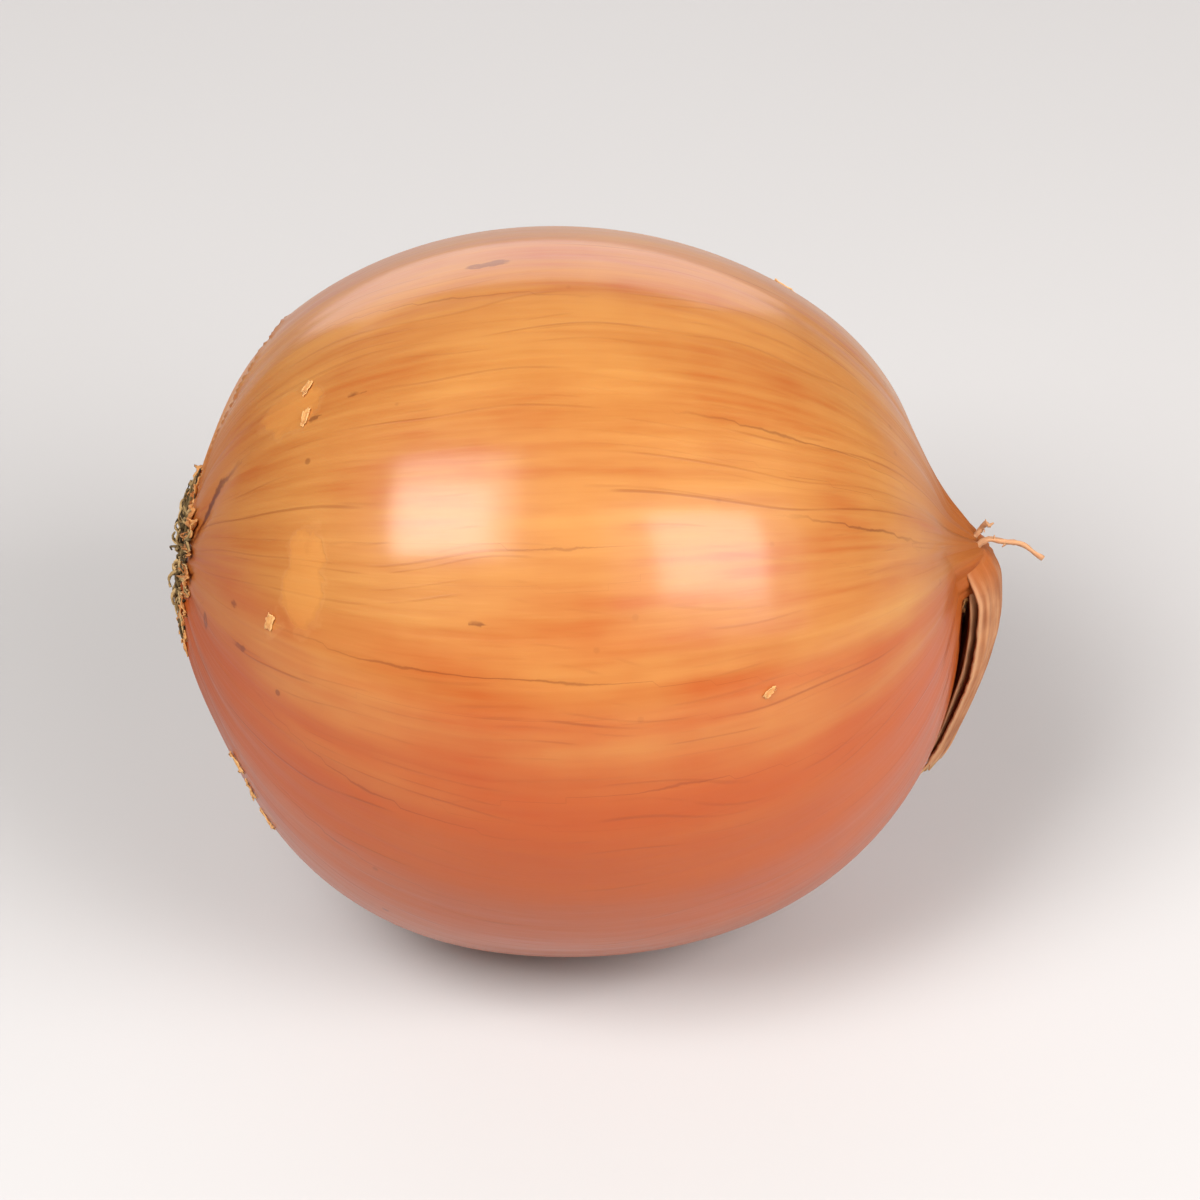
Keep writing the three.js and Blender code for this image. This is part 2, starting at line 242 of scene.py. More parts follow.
@dataclass(frozen=True)
class BulbShape:
    """The leaning egg of the bulb, its skin's folds and its two ends."""

    length: float = 82.2
    width: float = 76.0
    lean: float = math.radians(21.5)
    squareness: float = 0.3
    flat_depth: float = 0.6
    root_lift: float = 0.185
    neck_lift: float = 0.09
    neck_rise: float = 2.0
    neck_spread: float = 0.085
    root_dimple: float = 0.4
    root_spread: float = 0.15
    pleats: int = 17
    pleat_middle: float = 0.1
    pleat_neck: float = 0.36
    pleat_root: float = 0.45
    skin_step: float = 0.35
    line_width: float = 0.6
    speck_ink: float = 0.6
    neck_fold: float = math.radians(-80)
    torn_turn: float = math.radians(135)
    torn_spread: float = 0.8
    tent_height: float = 3.9
    tent_start: float = -10.0
    tent_crest: float = 2.3
    tent_cliff: Pair = (4.4, 6.6)
    tent_widths: Pair = (10.0, 6.2)
    tent_narrowing: Pair = (-8, 4)
    # Where shade is painted on the skin under the folded neck: start and end along it, slant and
    # half width.
    painted_shade_span: Pair = (5.4, 17.8)
    painted_shade_slant: float = 0.4
    painted_shade_half_width: float = 5.0
    swellings: tuple[tuple[float, float, float, float], ...] = (
        (29, -55, 12, -0.9),
        (61, -55, 19, 0.8),
        (40, 125, 16, 0.4),
        (18, 125, 12, -0.3),
        (142, 125, 14, 0.4),
        (162, 125, 7, -0.5),
    )
    folds: tuple[Fold, ...] = (
        Fold(((33, 66), (25, 62), (17, 50), (11, 32)), 0.35, 0.95, 1.3),
        Fold(((12, 18), (16, 24)), 0.25, 0.9),
        Fold(((44, 22.7), (65, 21.9), (90, 21.4), (129, 15.6)), 0.05, 0.45),
        Fold(((55, 42), (91, 41), (153, 37.4)), 0.04, 0.3),
        Fold(((109, 63), (125, 61), (152, 58.8)), 0.08, 0.45),
        Fold(((124, 45.4), (140, 43), (154, 39.7)), 0.08, 0.5),
        Fold(((38, 3), (58, -4), (80, -6)), 0.05, 0.35),
        Fold(((28, -8), (52, -22), (76, -25)), 0.05, 0.35),
        Fold(((72, 0), (104, 3), (140, -4)), 0.04, 0.3),
        Fold(((50, 94), (76, 88), (96, 86)), 0.04, 0.3),
        Fold(((60, -152), (96, -147)), 0.12, 0.5),
        Fold(((100, 170), (143, 173)), 0.12, 0.5),
        Fold(((34, -120), (60, -112)), 0.14, 0.5),
        Fold(((118, -95), (150, -99)), 0.1, 0.4),
        Fold(((60, 130), (110, 136), (146, 130)), 0.06, 0.4),
    )
    flaked: tuple[Patch, ...] = (
        Patch(47.5, 73, 3.8, 2.3),
        Patch(49.5, 34, 2.2, 4.8),
        Patch(43, 23.4, 1.0, 0.9),
        Patch(70, 158, 6.5, 3.2),
        Patch(124, -168, 5.0, 2.6),
        Patch(52, -140, 4.4, 3.4),
        Patch(108, 120, 2.6, 1.3),
    )
    specks: tuple[Patch, ...] = (
        Patch(82.5, 97, 1.9, 0.65),
        Patch(32.5, 23.4, 0.3, 0.25),
        Patch(22.7, 9.4, 0.3, 0.6),
        Patch(33.8, 12.3, 0.55, 0.2),
        Patch(77.2, 30.3, 0.55, 0.08),
        Patch(51.5, 77, 0.25, 0.2),
        Patch(52.5, 68.5, 0.4, 0.12),
        Patch(61, 71, 0.6, 0.06),
        Patch(60, -40, 0.3, 0.1),
        Patch(36, 150, 0.5, 0.2),
        Patch(88, -170, 0.4, 0.2),
    )

    @cached_property
    def egg(self) -> Matrix:
        """Stretches a unit ball to the leaning egg."""
        turned = Matrix.Rotation(self.lean, 3, "Y")
        sizes = (self.length / 2, self.width / 2, self.width / 2)
        return turned @ Matrix.Diagonal(sizes) @ turned.transposed()

    @cached_property
    def egg_normals(self) -> Matrix:
        """Turns a unit direction to the egg's outward one."""
        return self.egg.inverted().transposed()

    @cached_property
    def middle(self) -> Vector:
        """The egg's middle, which puts its lowest point over the origin."""
        lowest = self.egg @ (self.egg @ Vector((0, 0, -1))).normalized()
        return Vector((-lowest.x, 0, -lowest.z - self.flat_depth - self.squareness))

    @cached_property
    def swelling_places(self) -> tuple[tuple[Vector, float, float], ...]:
        """Each swelling as a unit direction, a width in radians and a height."""
        return tuple(
            (self.plain_direction(math.radians(p), math.radians(t)), math.radians(w), h)
            for p, t, w, h in self.swellings
        )

    @staticmethod
    def plain_direction(polar: float, turn: float) -> Vector:
        """Returns the unit direction of a place, with both ends on one axis."""
        across = math.sin(polar)
        return Vector((-math.cos(polar), -across * math.cos(turn), across * math.sin(turn)))

    def lift(self, along: float) -> float:
        """Returns how far the ends are raised over the middle at a place along the axis."""
        return (self.root_lift if along < 0 else self.neck_lift) * along * along

    def direction(self, polar: float, turn: float) -> Vector:
        """Returns the unit direction of a place, with both ends raised.

        Args:
            polar: angle from the root plate.
            turn: angle round the axis.

        Returns:
            The direction.
        """
        plain = self.plain_direction(polar, turn)
        plain.z += self.lift(plain.x)
        return plain.normalized()

    def angles(self, direction: Vector) -> Pair:
        """Finds the polar and turn angles of a unit direction.

        Args:
            direction: unit vector from the egg's middle, before the egg is stretched.

        Returns:
            Polar and turn, in radians.
        """
        scale = 1.0
        for _ in range(6):
            plain = direction * scale
            plain.z -= self.lift(plain.x)
            scale /= plain.length
        return math.acos(clamp(-plain.x, -1.0, 1.0)), math.atan2(plain.z, -plain.y)

    def torn_edge(self, turn: float) -> float:
        """Returns the polar angle where the outermost skin ends at a turn.

        Args:
            turn: angle round the axis.

        Returns:
            The angle, in radians.
        """
        c, s = math.cos(turn), math.sin(turn)
        ragged = 0.035 * ripple(8 * c, 8 * s, 4)
        ragged += 0.02 * ripple(30 * c, 30 * s, 4)
        return (
            0.12
            + 0.02 * math.sin(2 * turn + 1.1)
            + 0.02 * math.sin(7 * turn + 0.4)
            + 0.74 * bump(turn_between(turn, self.torn_turn), self.torn_spread)
            + ragged
        )

    def tent(self, from_neck: float, turn: float) -> float:
        """Returns how far the skin is drawn up to the folded neck.

        Args:
            from_neck: angle from the neck.
            turn: angle round the axis.

        Returns:
            The height in millimetres.
        """
        apart = from_neck * self.width / 2
        if apart > -self.tent_start:
            return 0.0
        along = apart * math.cos(turn - self.neck_fold)
        across = -apart * math.sin(turn - self.neck_fold)
        cliff = along + 0.5 * max(0.0, -across)
        rise = ease(along, self.tent_start, self.tent_crest) ** 2.2
        ridge = rise * (1 - ease(cliff, *self.tent_cliff))
        broad, narrow = self.tent_widths
        half_width = broad + (narrow - broad) * ease(along, *self.tent_narrowing)
        reach = min(1.0, abs(across) / half_width)
        return self.tent_height * ridge * (1 - reach**2.6) ** 1.6

    def height(self, polar: float, turn: float) -> float:
        """Returns the height of the skin's main form over the egg.

        Args:
            polar: angle from the root plate.
            turn: angle round the axis.

        Returns:
            The height in millimetres.
        """
        from_neck = math.pi - polar
        wander = turn + 0.1 * math.sin(3 * turn + 1) + 0.06 * math.sin(5 * turn + 2.3)
        pleat = abs(math.cos(self.pleats / 2 * wander)) - 0.6
        fade = min(1.0, math.sin(polar) / 0.1)
        pleat_height = (
            self.pleat_middle + self.pleat_neck * bump(from_neck, 0.3)
            + self.pleat_root * bump(polar, 0.34)
        )
        total = -self.squareness * math.cos(4 * polar) + fade * pleat * pleat_height
        plain = self.plain_direction(polar, turn)
        for place, width, swell in self.swelling_places:
            apart = math.acos(clamp(plain.dot(place), -1.0, 1.0))
            total += swell * bump(apart, width)
        stub = self.neck_rise * math.exp(-((from_neck / self.neck_spread) ** 1.4))
        total += max(stub, self.tent(from_neck, turn))
        total -= self.root_dimple * bump(polar, self.root_spread)
        return total - self.skin_step * (1 - ease(polar - self.torn_edge(turn), -0.012, 0.012))

    def relief(self, polar: float, turn: float) -> float:
        """Returns the fine relief of the dry skin: dents, wrinkles and the torn edge's lip.

        Args:
            polar: angle from the root plate.
            turn: angle round the axis.

        Returns:
            Its height in millimetres.
        """
        from_neck = math.pi - polar
        c, s = math.cos(turn), math.sin(turn)
        dents = 0.16 * ripple(2.6 * c, 2.6 * s, 1.3 * polar)
        ribs = 0.05 * ripple(11 * c, 11 * s, 1.2 * polar)
        wander = 0.35 * ripple(2 * c, 2 * s, 2.2 * polar)
        gather = 0.08 * bump(from_neck, 0.28) + 0.1 * bump(polar, 0.3)
        wrinkles = gather * (abs(math.sin(19 * turn + 4 * wander)) - 0.5)
        fade = min(1.0, math.sin(polar) / 0.12)
        lip = 0.2 * bump(polar - self.torn_edge(turn) - 0.014, 0.012)
        return fade * (dents + ribs + wrinkles) + lip

    @cached_property
    def patch_places(self) -> dict[Patch, Spot]:
        """Each flaked place and speck with its frame on the skin."""
        return {
            p: self.spot(math.radians(p.polar), math.radians(p.turn))
            for p in self.flaked + self.specks
        }

    def within(self, direction: Vector, patches: Sequence[Patch]) -> float:
        """Measures how deep inside some patches a place lies.

        Args:
            direction: unit direction of the place.
            patches: the patches.

        Returns:
            Millimetres inside a patch's outline, or less than 0 outside it.
        """
        deepest = -FAR
        for patch in patches:
            spot = self.patch_places[patch]
            apart = (direction - spot.direction) * (self.width / 2)
            if apart.length > 2 * (patch.length + patch.width):
                continue
            reach = math.hypot(
                apart.dot(spot.down) / patch.length, apart.dot(spot.side) / patch.width
            )
            deepest = max(deepest, (1 - reach) * min(patch.length, patch.width))
        return deepest

    @cached_property
    def fold_lines(self) -> tuple[tuple[Fold, Vector, Vector, float, float], ...]:
        """Each crease's stretches: start, run, where they begin on it and their share of it."""
        lines = []
        for fold in self.folds:
            places = [self.direction(math.radians(p), math.radians(t)) for p, t in fold.path]
            count = len(places) - 1
            for i in range(count):
                run = places[i + 1] - places[i]
                lines.append((fold, places[i], run, i / count, 1 / count))
        return tuple(lines)

    def creases(self, direction: Vector) -> tuple[float, float, float]:
        """Measures the skin's creases and specks, and the painted shade under the folded neck, at a
        place.

        Args:
            direction: unit direction of the place.

        Returns:
            The depth in millimetres, the distance to the nearest mark's line or edge in
            millimetres (less than 0 on one side of a line) and how dark that mark is.
        """
        depth, nearest, ink = 0.0, FAR, 0.0
        for fold, start, run, begin, share in self.fold_lines:
            t = clamp((direction - start).dot(run) / run.length_squared, 0.0, 1.0)
            apart = (direction - start - run * t) * (self.width / 2)
            if apart.length > 4:
                continue
            taper = math.sin(math.pi * (0.06 + 0.88 * (begin + share * t)))
            depth = max(depth, fold.depth * bump(apart.length, fold.width) * taper)
            near = apart.length * self.line_width / fold.width
            if near < abs(nearest):
                nearest = math.copysign(near, run.cross(apart).dot(direction))
                ink = fold.ink * taper
        speck = -self.within(direction, self.specks)
        # Specks are the skin's own; the neck's mark is painted shade under the folded neck.
        for edge, dark in ((speck, self.speck_ink), (self.neck_shade(direction), 1.0)):
            if max(0.0, edge) < abs(nearest):
                nearest, ink = max(0.0, edge), dark
        return depth, nearest, ink

    def neck_shade(self, direction: Vector) -> float:
        """Returns the distance to the painted shade on the skin under the folded neck, 0 on it.

        Args:
            direction: unit direction of the place.

        Returns:
            The distance in millimetres.
        """
        spot = self.neck_spot
        if direction.dot(spot.direction) < 0:
            return FAR
        apart = (direction - spot.direction) * (self.width / 2)
        along, across = apart.dot(spot.down), apart.dot(spot.side)
        start, end = self.painted_shade_span[0], self.painted_shade_span[1] - self.painted_shade_slant * across
        beside = max(0.0, abs(across) - self.painted_shade_half_width)
        return math.hypot(max(0.0, start - along, along - end), beside)

    @cached_property
    def neck_spot(self) -> Spot:
        """The frame at the neck, headed where the neck folds."""
        return self.spot(math.pi, 0, self.neck_fold)

    def skin_height(self, direction: Vector) -> float:
        """Returns the height of the finished skin over the egg in a direction."""
        polar, turn = self.angles(direction)
        return self.height(polar, turn) + self.relief(polar, turn)

    def point(self, direction: Vector, height: float) -> Vector:
        """Returns the place at a height over the egg, in a unit direction."""
        out = (self.egg_normals @ direction).normalized()
        return self.middle + self.egg @ direction + out * height

    def spot(self, polar: float, turn: float, heading: float | None = None) -> Spot:
        """Makes a frame on the skin.

        Args:
            polar: angle from the root plate.
            turn: angle round the axis.
            heading: at an end, the turn that "down" points to; elsewhere it points to the neck.

        Returns:
            The frame.
        """
        direction = self.direction(polar, turn)
        out = (self.egg_normals @ direction).normalized()
        if heading is None:
            down = self.direction(polar + 0.01, turn) - direction
        else:
            down = Vector((0, -math.cos(heading), math.sin(heading)))
        down = (down - out * down.dot(out)).normalized()
        return Spot(direction, out, down, out.cross(down))

    def beside(self, spot: Spot, along: float, across: float, height: float,
               clear: float | None = None) -> Vector:
        """Finds a place near a spot.

        Args:
            spot: the frame to measure from.
            along: millimetres over the bulb in the spot's down direction.
            across: the same, to its side.
            height: millimetres over the smooth egg.
            clear: if given, the place stays this far above the skin.

        Returns:
            The place.
        """
        reach = math.hypot(along, across)
        tangent = (spot.down * along + spot.side * across) / (reach or 1.0)
        arc = reach / (self.width / 2)
        direction = (spot.direction * math.cos(arc) + tangent * math.sin(arc)).normalized()
        if clear is not None:
            height = max(height, self.skin_height(direction) + clear)
        return self.point(direction, height)


# ---- Making pieces ----


def marked_mesh(*names: str) -> bmesh.types.BMesh:
    """Returns an empty mesh whose vertices carry a vector by each of the names.

    Args:
        names: the names.

    Returns:
        The mesh.
    """
    bm = bmesh.new()
    for name in names:
        bm.verts.layers.float_vector.new(name)
    bm.verts.layers.int.new("placed")
    return bm


def unplaced(bm: bmesh.types.BMesh) -> list[bmesh.types.BMVert]:
    """Returns the vertices that "shape" hasn't moved yet."""
    placed = bm.verts.layers.int["placed"]
    return [v for v in bm.verts if not v[placed]]


def add_slab(bm: bmesh.types.BMesh, columns: int, rows: int) -> None:
    """Adds a flat slab: x from -1 to 1, y from 0 to 1 and z from 0 to 1.

    Args:
        bm: the mesh to add to.
        columns: faces along x.
        rows: faces along y.
    """
    bmesh.ops.create_grid(bm, x_segments=columns, y_segments=rows, size=1)
    bmesh.ops.translate(bm, verts=unplaced(bm), vec=(0, 1, 0))
    bmesh.ops.scale(bm, verts=unplaced(bm), vec=(1, 0.5, 1))
    faces = list({f for v in unplaced(bm) for f in v.link_faces})
    bmesh.ops.solidify(bm, geom=faces, thickness=1)
    made = unplaced(bm)
    lowest = min(v.co.z for v in made)
    bmesh.ops.translate(bm, verts=made, vec=(0, 0, -lowest))


def add_rod(bm: bmesh.types.BMesh, sides: int, steps: int) -> None:
    """Adds a closed round rod of radius 1 with z from 0 to 1.

    Args:
        bm: the mesh to add to.
        sides: faces round it.
        steps: faces along it.
    """
    made = bmesh.ops.create_cone(
        bm, cap_ends=True, cap_tris=True, segments=sides, radius1=1, radius2=1, depth=1
    )["verts"]
    bmesh.ops.translate(bm, verts=made, vec=(0, 0, 0.5))
    long_edges = {
        e for v in made for e in v.link_edges if abs(e.verts[0].co.z - e.verts[1].co.z) > 0.5
    }
    bmesh.ops.subdivide_edges(bm, edges=list(long_edges), cuts=steps - 1)


def shape(bm: bmesh.types.BMesh, rule: Rule) -> None:
    """Moves the vertices not yet placed by a rule and keeps what it says of each.

    Args:
        bm: the mesh.
        rule: from an old place to a new one in millimetres and its named marks.
    """
    layers = bm.verts.layers.float_vector
    placed = bm.verts.layers.int["placed"]
    for vert in unplaced(bm):
        place, marks = rule(vert.co.copy())
        vert.co = place * MM
        vert[placed] = 1
        for name, value in marks.items():
            vert[layers[name]] = Vector(value)


def thicken(bm: bmesh.types.BMesh, faces: list[bmesh.types.BMFace], thickness: float) -> None:
    """Gives a sheet a thickness, along its normals alone so that tight folds stay thin.

    Args:
        bm: the mesh.
        faces: the sheet's faces.
        thickness: the thickness in millimetres.
    """
    bmesh.ops.recalc_face_normals(bm, faces=faces)
    made = bmesh.ops.extrude_face_region(bm, geom=faces, use_keep_orig=True)["geom"]
    for face in (f for f in made if isinstance(f, bmesh.types.BMFace)):
        face.normal_update()
    for vert in (v for v in made if isinstance(v, bmesh.types.BMVert)):
        vert.normal_update()
        vert.co += vert.normal * (thickness * MM)


def strand(bm: bmesh.types.BMesh, path: Sequence[Vector], radii: Pair, shade: float,
           sides: int = 5, steps: int = 6, flatten: float = 1.0, rim: float = 0.0,
           knots: float = 0.0) -> None:
    """Adds a thin tapered strand.

    Args:
        bm: the mesh to add to.
        path: the places it passes, in millimetres.
        radii: its radius at its foot and at its tip.
        shade: a number from 0 to 1 that sets its colour.
        sides: faces round it.
        steps: faces along it.
        flatten: width over thickness.
        rim: how pale it is, as a torn rim.
        knots: how uneven its radius is.
    """
    points = [tuple(p) for p in path]
    helper = (Vector(points[1]) - Vector(points[0])).orthogonal()

    def rule(co: Vector) -> tuple[Vector, Marks]:
        """Bends the straight rod along the path.

        Args:
            co: place on the rod.

        Returns:
            The place on the strand and its marks.
        """
        ahead = along_curve(points, co.z + 0.02) - along_curve(points, co.z - 0.02)
        side = ahead.cross(helper).normalized()
        other = ahead.cross(side).normalized()
        radius = radii[0] + (radii[1] - radii[0]) * co.z
        radius *= 1 + knots * ripple(2 * co.x, 2 * co.y, 9 * co.z + 7 * shade) * 2
        place = along_curve(points, co.z) + side * (co.x * radius * flatten)
        place += other * (co.y * radius)
        return place, {"sheet": (shade, 0.4 + 0.4 * co.z, rim)}

    add_rod(bm, sides, steps)
    shape(bm, rule)


def show(name: str, data: bpy.types.ID) -> bpy.types.Object:
    """Puts a mesh, a light or a camera in the scene.

    Args:
        name: the object's name.
        data: what it shows.

    Returns:
        The object.
    """
    shown = bpy.data.objects.new(name, data)
    bpy.context.scene.collection.objects.link(shown)
    return shown


def show_mesh(name: str, bm: bmesh.types.BMesh, material: bpy.types.Material) -> bpy.types.Object:
    """Puts a mesh in the scene in its material, and frees the one it was built in.

    Args:
        name: the object's name.
        bm: its mesh, in metres, which is freed.
        material: its finish.

    Returns:
        The object.
    """
    mesh = bpy.data.meshes.new(name)
    bm.to_mesh(mesh)
    bm.free()
    mesh.materials.append(material)
    return show(name, mesh)


def finish_piece(name: str, bm: bmesh.types.BMesh, material: bpy.types.Material,
                 replaces: str | None = None) -> bpy.types.Object:
    """Turns a mesh into a piece that rides on the onion.

    Args:
        name: the piece's name.
        bm: its mesh, in metres, which is freed.
        material: its finish.
        replaces: the solid that it stands for.

    Returns:
        The piece.
    """
    bmesh.ops.recalc_face_normals(bm, faces=bm.faces)
    bm.verts.layers.int.remove(bm.verts.layers.int["placed"])
    for face in bm.faces:
        face.smooth = True
    piece = show_mesh(name, bm, material)
    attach(piece, "root")
    if replaces:
        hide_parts(replaces)
    triangles = sum(len(p.vertices) - 2 for p in piece.data.polygons)
    LOG.info("%s: %d triangles", name, triangles)
    return piece


# ---- Finishes ----


@dataclass(frozen=True)
class OuterScaleFinish:
    """The outermost dry scale leaf: a thin amber skin with a waxy gloss and lengthwise veins."""

    deep: str = "#A55C27"
    middle: str = "#AC6E35"
    light: str = "#B47A3E"
    golden: str = "#BB8546"
    # painted shade on the underside
    shaded: str = "#A8430D"
    vein: str = "#74320F"
    root_tint: str = "#8E3E13"
    neck_tint: str = "#914C1B"
    under_skin: str = "#CC8B45"
    lip: str = "#DDB077"
    # Colour of the lines of creases, scars and specks, and of the painted shade under the neck and
    # along the torn edge
    dark: str = "#4E1608"
    speck: str = "#5A2A12"
    vein_spacing: float = 5.4
    fine_spacing: float = 1.9
    streak_width: float = 1.3

    def build(self, form: BulbShape) -> bpy.types.Material:
        """Makes the material.

        Args:
            form: the bulb, whose girth sets the patterns' scale.

        Returns:
            The material.
        """
        g = Graph("dry_outer_scale")
        half = form.width / 2
        # "grain" is the cosine and sine of the turn and the polar angle: one unit is half a bulb.
        grain = g.add("Attribute", output="Vector", attribute_name="grain")
        facing, upright, polar = g.add("SeparateXYZ", (grain,)).node.outputs
        marks = g.add("Attribute", output="Vector", attribute_name="marks")
        torn_off, to_line, ink = g.add("SeparateXYZ", (marks,)).node.outputs
        solid = g.add("TexCoord", output="Object")

        def streaks(width: float, length: float, detail: float) -> bpy.types.NodeSocket:
            """Gives lengthwise streaks of a width and length in millimetres.

            Args:
                width: how wide a streak is.
                length: how long it is.
                detail: how many finer layers it has.

            Returns:
                The noise.
            """
            scale = (half / width, half / width, half / length)
            spread = g.add("Mapping", {"Vector": grain, "Scale": scale})
            return g.add("TexNoise", {"Vector": spread, "Scale": 1.0, "Detail": detail})

        def veins(spacing: float, narrow: float, shift: float,
                  fading: bpy.types.NodeSocket) -> bpy.types.NodeSocket:
            """Gives thin wandering lines, one to a slice of the girth, that fade in and out.

            Args:
                spacing: millimetres from one to the next at the middle.
                narrow: a line's half width, as a share of the spacing.
                shift: how many slices they wander.
                fading: a noise that breaks them up.

            Returns:
                A mask that is 1 on a line.
            """
            count = round(math.tau * half / spacing)
            angle = g.add("Math", (upright, facing), operation="ARCTAN2")
            even = g.add("Math", (angle, count / math.tau), operation="MULTIPLY")
            slices = g.add("Math", (wander, shift, even), operation="MULTIPLY_ADD")
            whole = g.add("Math", (slices,), operation="FLOOR")
            number = g.add("Math", (whole, float(count)), operation="FLOORED_MODULO")
            chance = g.add("TexWhiteNoise", {"W": number}, "Value", noise_dimensions="1D")
            centre = g.add("MapRange", {"Value": chance, "To Min": 0.28, "To Max": 0.72})
            part = g.add("Math", (slices,), operation="FRACT")
            offset = g.add("Math", (part, centre), operation="SUBTRACT")
            apart = g.add("Math", (offset,), operation="ABSOLUTE")
            line = g.add("MapRange", (apart, narrow, 0.2 * narrow), **SMOOTH)
            kept = g.add("MapRange", (fading, 0.46, 0.62), **SMOOTH)
            kept = g.add("Math", (kept, chance), operation="MULTIPLY")
            return g.add("Math", (line, kept), operation="MULTIPLY")

        fine, broad = streaks(self.streak_width, 15, 3), streaks(6, 34, 2)
        flecks, wander = streaks(0.5, 5, 2), streaks(15, 30, 1)
        clouds = g.add("TexNoise", {"Vector": solid, "Scale": 1 / (15 * MM), "Detail": 3.0})
        chip = g.add("TexNoise", {"Vector": solid, "Scale": 1 / (2.4 * MM), "Detail": 3.0})
        chip = g.add("Math", (chip, 0.5), operation="SUBTRACT")
        main_veins = veins(self.vein_spacing, 0.045, 1.8, streaks(8, 18, 2))
        fine_veins = veins(self.fine_spacing, 0.11, 6.0, streaks(3, 9, 2))
        fine_veins = g.add("Math", (fine_veins, 0.55), operation="MULTIPLY")
        vein = g.add("Math", (main_veins, fine_veins), operation="MAXIMUM")
        # Painted shade: darker and redder below, its edge broken by clouds and broad streaks; tan
        # at the neck.
        upward = g.add("Math", (clouds, 0.25, upright), operation="MULTIPLY_ADD")
        upward = g.add("Math", (broad, 0.75, upward), operation="MULTIPLY_ADD")
        below = g.add("MapRange", (upward, 1.18, 0.36), **SMOOTH)
        reddened = g.add("MapRange", (polar, 0.95, 0.15), **SMOOTH)
        ragged = g.add("Math", (fine, 0.2, polar), operation="MULTIPLY_ADD")
        neckward = g.add("MapRange", (ragged, 2.7, 3.2), **SMOOTH)
        # The film is torn along a ragged line, pale outside it and dark with painted shadow just
        # inside.
        torn = g.add("Math", (chip, 3.4, torn_off), operation="MULTIPLY_ADD")
        bare = g.add("MapRange", (torn, -0.05, 0.1), **SMOOTH)
        covered = g.add("Math", (1.0, bare), operation="SUBTRACT")
        near_tear = g.add("MapRange", (torn, -0.5, -0.1), **SMOOTH)
        rim = g.add("Math", (near_tear, covered), operation="MULTIPLY")
        past_tear = g.add("MapRange", (torn, 0.5, 0.15), **SMOOTH)
        inside = g.add("Math", (bare, past_tear), operation="MULTIPLY")
        # Lines of creases, scars and specks, with painted shade under the neck and a painted shadow
        # line along the torn edge.
        waver = g.add("Math", (chip, 1.1, to_line), operation="MULTIPLY_ADD")
        waver = g.add("Math", (waver,), operation="ABSOLUTE")
        line = g.add("MapRange", (waver, 0.26, 0.06), **SMOOTH)
        line = g.add("Math", (line, ink), operation="MULTIPLY")
        # Specks of soil, a few to each square centimetre near the root.
        cells = g.add("TexVoronoi", {"Vector": solid, "Scale": 1 / (4.5 * MM)}).node.outputs
        lot = g.add("SeparateXYZ", (cells["Color"],))
        rare = g.add("Math", (lot, 0.8), operation="GREATER_THAN")
        dot = g.add("MapRange", (cells["Distance"], 0.1, 0.05), **SMOOTH)
        dot = g.add("Math", (rare, dot), operation="MULTIPLY")
        near_root = g.add("MapRange", (polar, 1.3, 0.4, 0.15, 1.0))
        soil = g.add("Math", (dot, near_root), operation="MULTIPLY")
        # Colour: soft streaks and clouds of amber, with the rest laid over them in turn.
        tone = g.add("Math", (clouds, 0.38), operation="MULTIPLY")
        tone = g.add("Math", (broad, 0.3, tone), operation="MULTIPLY_ADD")
        tone = g.add("Math", (fine, 0.32, tone), operation="MULTIPLY_ADD")
        base = g.add("ValToRGB", (tone,), stops=(
            (0.35, self.deep), (0.45, self.middle), (0.56, self.light), (0.7, self.golden)))
        for colour, where, most in (
            (self.shaded, below, 0.82), (self.root_tint, reddened, 0.55), (self.vein, vein, 0.44),
            (self.neck_tint, neckward, 0.85), (self.under_skin, bare, 0.38),
            (self.lip, rim, 0.06), (self.dark, inside, 0.07), (self.dark, line, 0.9),
            (self.speck, soil, 0.8),
        ):
            base = g.tint(base, colour, where, most)
        rough = g.add("MapRange", (fine, 0.3, 0.7, 0.42, 0.56))
        rough = g.add("Math", (neckward, 0.14, rough), operation="MULTIPLY_ADD")
        # The skin is duller at both ends.
        rootward = g.add("MapRange", (polar, 0.8, 0.3), **SMOOTH)
        rootward = g.add("Math", (rootward, 0.8), operation="MULTIPLY")
        dull = g.add("Math", (neckward, rootward), operation="MAXIMUM")
        waxy = g.add("MapRange", {"Value": dull, "To Min": 0.55, "To Max": 0.0})
        raised = g.add("Math", (flecks, 0.3, fine), operation="MULTIPLY_ADD")
        raised = g.add("Math", (vein, 0.5, raised), operation="MULTIPLY_ADD")
        raised = g.add("Math", (bare, -0.4, raised), operation="MULTIPLY_ADD")
        normal = g.add("Bump", {"Height": raised, "Strength": 0.45, "Distance": 0.12 * MM})
        surface = g.add("BsdfPrincipled", {
            "Base Color": base, "Roughness": rough, "Normal": normal, "IOR": 1.47,
            "Subsurface Weight": 0.1, "Subsurface Radius": (1.0, 0.35, 0.12),
            "Subsurface Scale": 2 * MM, "Specular IOR Level": 0.22, "Coat Weight": waxy,
            "Coat Roughness": 0.18,
        })
        g.add("OutputMaterial", {"Surface": surface})
        return g.material


